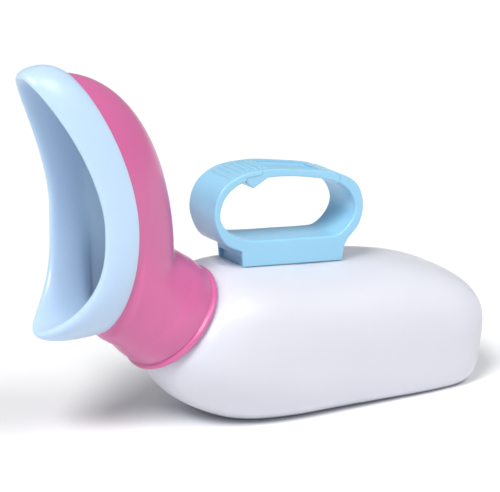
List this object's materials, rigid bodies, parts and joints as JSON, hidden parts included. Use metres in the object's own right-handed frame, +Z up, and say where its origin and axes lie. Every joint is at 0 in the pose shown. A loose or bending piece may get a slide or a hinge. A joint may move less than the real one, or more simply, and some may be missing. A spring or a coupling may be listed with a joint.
{
  "type": "urine bottle",
  "caption": "Low flat-bottomed urine bottle with a tilted neck, a swivelling elbow funnel with a soft saddle-shaped mouth, and a loop handle with a spring gate.",
  "frame": {"origin": "on the flat underside, under the middle of the body's length and width", "axes": "+Z up, -X towards the mouth, +X towards the rear end, Y across; mirror plane is XZ"},
  "size_m": [0.2754, 0.0952, 0.2074],
  "materials": {
    "bottle": "translucent white blow-moulded polyethylene, satin",
    "seal": "satin silicone",
    "funnel": "satin pink polypropylene",
    "rim": "soft satin light blue elastomer",
    "handle": "satin light blue polypropylene"
  },
  "bodies": {
    "bottle": {"bottle": "bottle"},
    "seal": {"neck_seal": "seal"},
    "funnel": {"funnel": "funnel", "rim": "rim"},
    "handle": {"handle": "handle"},
    "gate": {"handle_gate": "handle"}
  },
  "joints": [
    {"name": "funnel_swivel", "type": "hinge", "parent": "bottle", "child": "seal", "pos_m": [-0.105, 0, 0.0592], "axis": [-0.7536, 0, 0.6574], "continuous": true},
    {"name": "funnel_pull", "type": "slide", "parent": "seal", "child": "funnel", "axis": [-0.7536, 0, 0.6574], "range_m": [0, 0.06]},
    {"name": "handle_slide", "type": "slide", "parent": "bottle", "child": "handle", "axis": [-0.9936, 0, 0.1132], "range_m": [0, 0.018]},
    {"name": "gate_press", "type": "hinge", "parent": "handle", "child": "gate", "pos_m": [-0.006, 0, 0.1223], "axis": [0, -1, 0], "range_deg": [0, 25], "stiffness_Nm_per_rad": 0.3, "springref_deg": -5.73}
  ]
}
